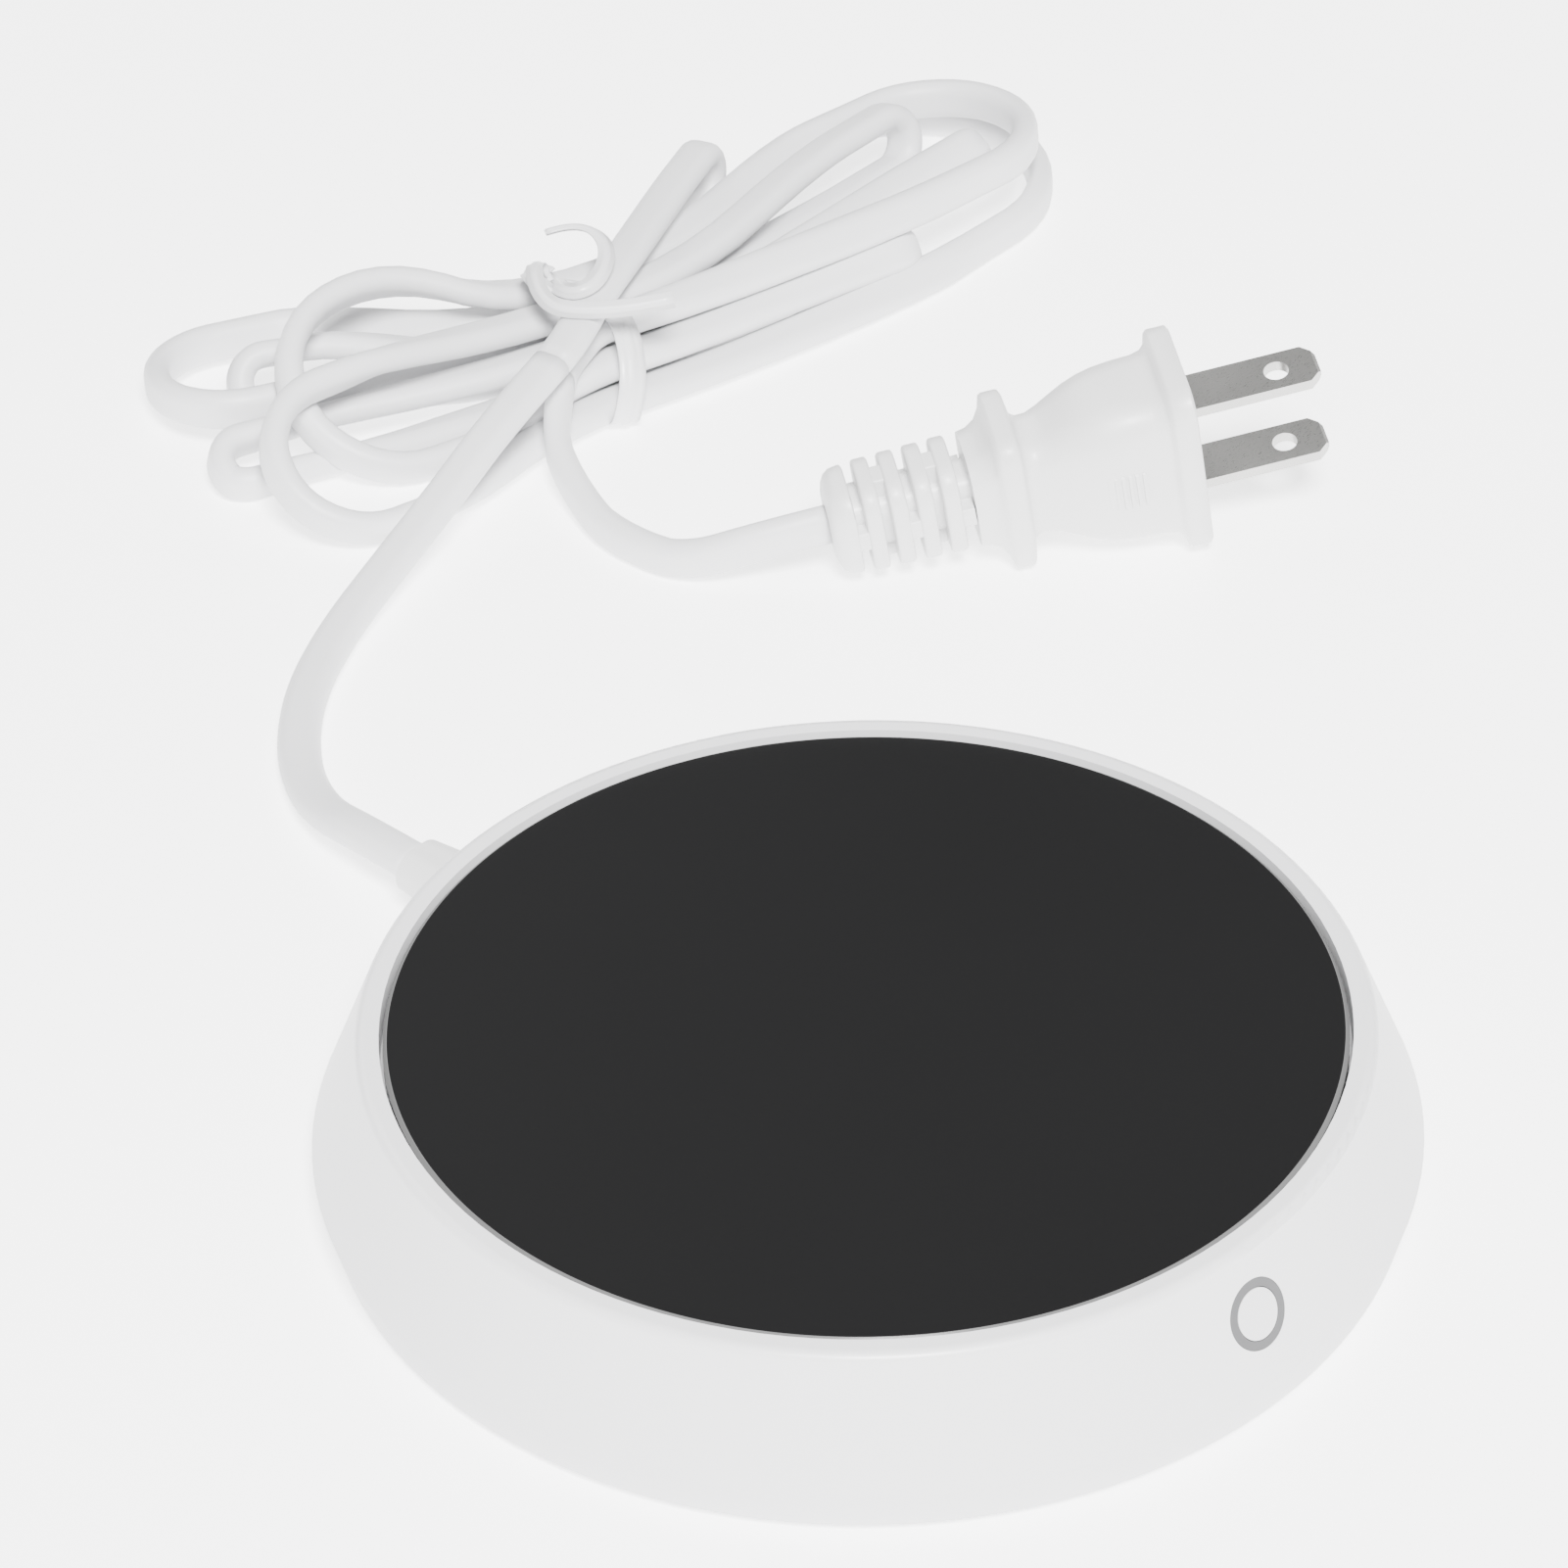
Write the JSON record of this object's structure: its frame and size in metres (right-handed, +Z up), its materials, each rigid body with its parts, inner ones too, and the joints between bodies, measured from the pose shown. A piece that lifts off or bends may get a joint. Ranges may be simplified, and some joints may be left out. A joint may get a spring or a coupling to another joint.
{
  "type": "electric mug warmer",
  "caption": "Round electric mug warmer: low housing with a flat dark glass plate, a small press button with a ring light, and a tied mains lead with a two-blade plug.",
  "frame": {"origin": "centre of the round housing, on the surface that the feet stand on", "axes": "+Z up, -Y towards the press button, +Y towards the side where the lead leaves"},
  "size_m": [0.2313, 0.2446, 0.0292],
  "materials": {
    "housing": "satin white",
    "base": "matt white",
    "glass": "printed dark underside, polished chamfer",
    "seal": "matt",
    "spreader": "brushed",
    "element": "amber film",
    "pad": "felted",
    "retainer": "pressed sheet",
    "sensor": "matt",
    "cutoff": "drawn can",
    "feet": "matt",
    "screws": "zinc plated",
    "board": "solder mask",
    "film_part": "moulded",
    "can_part": "sleeved can",
    "black_part": "moulded",
    "terminal": "moulded",
    "ring": "clear grey, unlit",
    "button": "satin white",
    "leds": "clear",
    "grommet": "satin white",
    "clamp": "moulded",
    "cord": "satin white vinyl",
    "core_brown": "satin",
    "core_blue": "satin",
    "plug": "satin white vinyl",
    "blades": "nickel plated",
    "tie": "paper-thin plastic over wire"
  },
  "bodies": {
    "housing": {"top_shell": "housing", "base_cover": "base", "glass_plate": "glass", "glass_seal": "seal", "heat_spreader_plate": "spreader", "heating_element": "element", "insulation_pad": "pad", "heater_retainer": "retainer", "temperature_sensor": "sensor", "thermal_cutoff": "cutoff", "rubber_foot_1": "feet", "rubber_foot_2": "feet", "rubber_foot_3": "feet", "rubber_foot_4": "feet", "housing_screws": "screws", "retainer_screws": "screws", "circuit_board": "board", "board_screws": "screws", "film_capacitor": "film_part", "electrolytic_capacitor": "can_part", "heater_triac": "black_part", "control_chip": "black_part", "terminal_block": "terminal", "light_ring": "ring", "tact_switch": "black_part", "switch_board": "board", "indicator_leds": "leds", "cord_grommet": "grommet", "cord_clamp": "clamp", "clamp_screws": "screws", "lead_inner_end": "cord", "live_core": "core_brown", "neutral_core": "core_blue", "heater_wire": "core_brown", "switch_wire": "core_blue", "cord_hank": "cord", "cord_lead": "cord", "plug_body": "plug", "plug_blade_1": "blades", "plug_blade_2": "blades", "cord_tail": "cord", "twist_tie": "tie"},
    "button": {"button_cap": "button", "switch_plunger": "black_part"}
  },
  "joints": [
    {"name": "button_press", "type": "slide", "parent": "housing", "child": "button", "axis": [0, 0.9303, -0.3667], "range_m": [0, 0.0005], "stiffness_N_per_m": 600, "springref_m": -0.0008}
  ]
}
